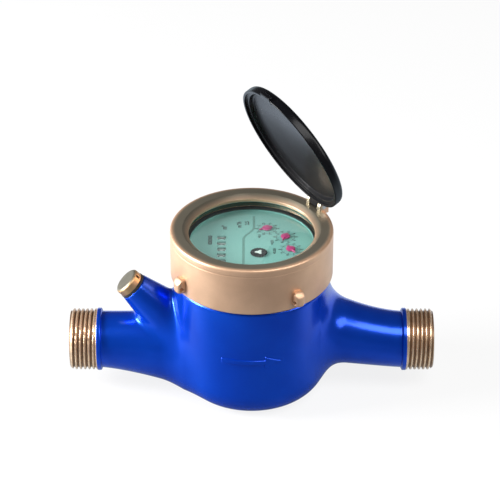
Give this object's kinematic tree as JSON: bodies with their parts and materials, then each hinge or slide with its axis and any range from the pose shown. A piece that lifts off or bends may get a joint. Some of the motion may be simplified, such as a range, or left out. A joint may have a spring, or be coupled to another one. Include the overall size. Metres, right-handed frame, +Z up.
{
  "type": "water meter",
  "caption": "Multi-jet dry-dial water meter: painted casting with threaded pipe ends, clamped dial under a brass ring, hinged lid and sealed flow regulator.",
  "frame": {"origin": "centre of the flat base under the bowl", "axes": "+X with the flow, +Z up the dial axis"},
  "size_m": [0.195, 0.0902, 0.1732],
  "materials": {
    "body_paint": "glossy blue stove enamel on cast brass, threads bare",
    "brass": "turned and lightly blasted brass",
    "lid_plastic": "polished black moulding",
    "glass": "clear toughened glass",
    "rubber": "moulded black rubber",
    "moulding": "plain ivory moulding",
    "gear_plastic": "natural acetal",
    "drum_plastic": "white moulding with printed figures",
    "steel": "ground steel wire",
    "magnet": "sintered magnet and soft iron",
    "dial": "pale green printed dial",
    "pointer_red": "red moulding",
    "star_black": "black disc with a printed star"
  },
  "bodies": {
    "meter": {"body": "body_paint", "strainer": "moulding", "chamber_gasket": "rubber", "measuring_chamber": "moulding", "pivot_pin": "steel", "chamber_cover": "moulding", "top_bush": "brass", "plate_seal": "rubber", "pressure_plate": "brass", "register_cup": "moulding", "shield_ring": "magnet", "base_plate": "moulding", "drum_shaft": "steel", "carry_shaft": "steel", "dial_plate": "dial", "glass_gasket": "rubber", "glass": "glass", "slip_washer": "moulding", "head_ring": "brass", "hinge_pin": "steel", "plug_washer": "rubber", "regulator_plug": "brass"},
    "lid": {"lid": "lid_plastic"},
    "impeller": {"impeller": "moulding", "drive_magnet": "magnet"},
    "spindle": {"spindle": "steel", "driven_magnet": "magnet"},
    "arbor_j": {"arbor_j": "gear_plastic"},
    "star": {"arbor_star": "gear_plastic", "star_disc": "star_black"},
    "arbor_k0": {"arbor_k0": "gear_plastic"},
    "pointer_3": {"arbor_p3": "gear_plastic", "pointer_3": "pointer_red"},
    "arbor_k1": {"arbor_k1": "gear_plastic"},
    "pointer_2": {"arbor_p2": "gear_plastic", "pointer_2": "pointer_red"},
    "arbor_k2": {"arbor_k2": "gear_plastic"},
    "pointer_1": {"arbor_p1": "gear_plastic", "pointer_1": "pointer_red"},
    "count_idler": {"count_idler": "gear_plastic"},
    "count_drive": {"count_drive": "gear_plastic"},
    "drum_units": {"drum_units": "drum_plastic", "count_crown": "gear_plastic"},
    "carry_1": {"carry_1": "gear_plastic"},
    "drum_tens": {"drum_tens": "drum_plastic"},
    "carry_2": {"carry_2": "gear_plastic"},
    "drum_hundreds": {"drum_hundreds": "drum_plastic"},
    "carry_3": {"carry_3": "gear_plastic"},
    "drum_thousands": {"drum_thousands": "drum_plastic"},
    "carry_4": {"carry_4": "gear_plastic"},
    "drum_top": {"drum_top": "drum_plastic"},
    "regulator": {"regulator_screw": "brass"}
  },
  "joints": [
    {"name": "lid_hinge", "type": "hinge", "parent": "meter", "child": "lid", "pos_m": [0.03501, 0.02274, 0.0989], "axis": [-0.5446, 0.8387, 0], "range_deg": [-66.5, 43.5]},
    {"name": "impeller_spin", "type": "hinge", "parent": "meter", "child": "impeller", "pos_m": [0, 0, 0.0265], "axis": [0, 0, 1], "continuous": true},
    {"name": "regulator_turn", "type": "hinge", "parent": "meter", "child": "regulator", "pos_m": [-0.063, 0, 0.0601], "axis": [-0.7071, 0, 0.7071], "range_deg": [-180, 180]},
    {"name": "spindle_spin", "type": "hinge", "parent": "meter", "child": "spindle", "pos_m": [0, 0, 0.0864], "axis": [0, 0, 1], "continuous": true},
    {"name": "arbor_j_spin", "type": "hinge", "parent": "meter", "child": "arbor_j", "pos_m": [0.00623, -0.00331, 0.0864], "axis": [0, 0, 1], "continuous": true},
    {"name": "star_spin", "type": "hinge", "parent": "meter", "child": "star", "pos_m": [0.00374, -0.01087, 0.0864], "axis": [0, 0, 1], "continuous": true},
    {"name": "arbor_k0_spin", "type": "hinge", "parent": "meter", "child": "arbor_k0", "pos_m": [0.01263, -0.01016, 0.0864], "axis": [0, 0, 1], "continuous": true},
    {"name": "pointer_3_spin", "type": "hinge", "parent": "meter", "child": "pointer_3", "pos_m": [0.02045, -0.00694, 0.0864], "axis": [0, 0, 1], "continuous": true},
    {"name": "arbor_k1_spin", "type": "hinge", "parent": "meter", "child": "arbor_k1", "pos_m": [0.01423, -0.00178, 0.0864], "axis": [0, 0, 1], "continuous": true},
    {"name": "pointer_2_spin", "type": "hinge", "parent": "meter", "child": "pointer_2", "pos_m": [0.01783, 0.00565, 0.0864], "axis": [0, 0, 1], "continuous": true},
    {"name": "arbor_k2_spin", "type": "hinge", "parent": "meter", "child": "arbor_k2", "pos_m": [0.01027, 0.00643, 0.0864], "axis": [0, 0, 1], "continuous": true},
    {"name": "pointer_1_spin", "type": "hinge", "parent": "meter", "child": "pointer_1", "pos_m": [0.00809, 0.01404, 0.0864], "axis": [0, 0, 1], "continuous": true},
    {"name": "count_idler_spin", "type": "hinge", "parent": "meter", "child": "count_idler", "pos_m": [-0.0026, 0.01585, 0.0864], "axis": [0, 0, 1], "continuous": true},
    {"name": "count_drive_spin", "type": "hinge", "parent": "meter", "child": "count_drive", "pos_m": [-0.0159, 0.01271, 0.0864], "axis": [0, 0, 1], "continuous": true},
    {"name": "drum_units_spin", "type": "hinge", "parent": "meter", "child": "drum_units", "pos_m": [-0.0159, 0.005, 0.0791], "axis": [0, 1, 0], "continuous": true},
    {"name": "carry_1_spin", "type": "hinge", "parent": "meter", "child": "carry_1", "pos_m": [-0.0075, 0.0021, 0.0791], "axis": [0, 1, 0], "continuous": true},
    {"name": "drum_tens_spin", "type": "hinge", "parent": "meter", "child": "drum_tens", "pos_m": [-0.0159, -0.0008, 0.0791], "axis": [0, 1, 0], "continuous": true},
    {"name": "carry_2_spin", "type": "hinge", "parent": "meter", "child": "carry_2", "pos_m": [-0.0075, -0.0037, 0.0791], "axis": [0, 1, 0], "continuous": true},
    {"name": "drum_hundreds_spin", "type": "hinge", "parent": "meter", "child": "drum_hundreds", "pos_m": [-0.0159, -0.0066, 0.0791], "axis": [0, 1, 0], "continuous": true},
    {"name": "carry_3_spin", "type": "hinge", "parent": "meter", "child": "carry_3", "pos_m": [-0.0075, -0.0095, 0.0791], "axis": [0, 1, 0], "continuous": true},
    {"name": "drum_thousands_spin", "type": "hinge", "parent": "meter", "child": "drum_thousands", "pos_m": [-0.0159, -0.0124, 0.0791], "axis": [0, 1, 0], "continuous": true},
    {"name": "carry_4_spin", "type": "hinge", "parent": "meter", "child": "carry_4", "pos_m": [-0.0075, -0.0153, 0.0791], "axis": [0, 1, 0], "continuous": true},
    {"name": "drum_top_spin", "type": "hinge", "parent": "meter", "child": "drum_top", "pos_m": [-0.0159, -0.0182, 0.0791], "axis": [0, 1, 0], "continuous": true}
  ],
  "couplings": [
    {"joint": "spindle_spin", "follows": "impeller_spin", "ratio": 1},
    {"joint": "arbor_j_spin", "follows": "impeller_spin", "ratio": -0.16667},
    {"joint": "star_spin", "follows": "impeller_spin", "ratio": 0.041667},
    {"joint": "arbor_k0_spin", "follows": "impeller_spin", "ratio": -0.013889},
    {"joint": "pointer_3_spin", "follows": "impeller_spin", "ratio": 0.0046296},
    {"joint": "arbor_k1_spin", "follows": "impeller_spin", "ratio": -0.0011574},
    {"joint": "pointer_2_spin", "follows": "impeller_spin", "ratio": 0.00046296},
    {"joint": "arbor_k2_spin", "follows": "impeller_spin", "ratio": -0.00011574},
    {"joint": "pointer_1_spin", "follows": "impeller_spin", "ratio": 0.000046296},
    {"joint": "count_idler_spin", "follows": "impeller_spin", "ratio": -0.0000069444},
    {"joint": "count_drive_spin", "follows": "impeller_spin", "ratio": 0.000015432},
    {"joint": "drum_units_spin", "follows": "impeller_spin", "ratio": -0.0000046296},
    {"joint": "carry_1_spin", "follows": "impeller_spin", "ratio": 0.0000011574},
    {"joint": "drum_tens_spin", "follows": "impeller_spin", "ratio": -0.00000046296},
    {"joint": "carry_2_spin", "follows": "impeller_spin", "ratio": 0.00000011574},
    {"joint": "drum_hundreds_spin", "follows": "impeller_spin", "ratio": -0.000000046296},
    {"joint": "carry_3_spin", "follows": "impeller_spin", "ratio": 0.000000011574},
    {"joint": "drum_thousands_spin", "follows": "impeller_spin", "ratio": -0.0000000046296},
    {"joint": "carry_4_spin", "follows": "impeller_spin", "ratio": 0.0000000011574},
    {"joint": "drum_top_spin", "follows": "impeller_spin", "ratio": -0.00000000046296}
  ]
}
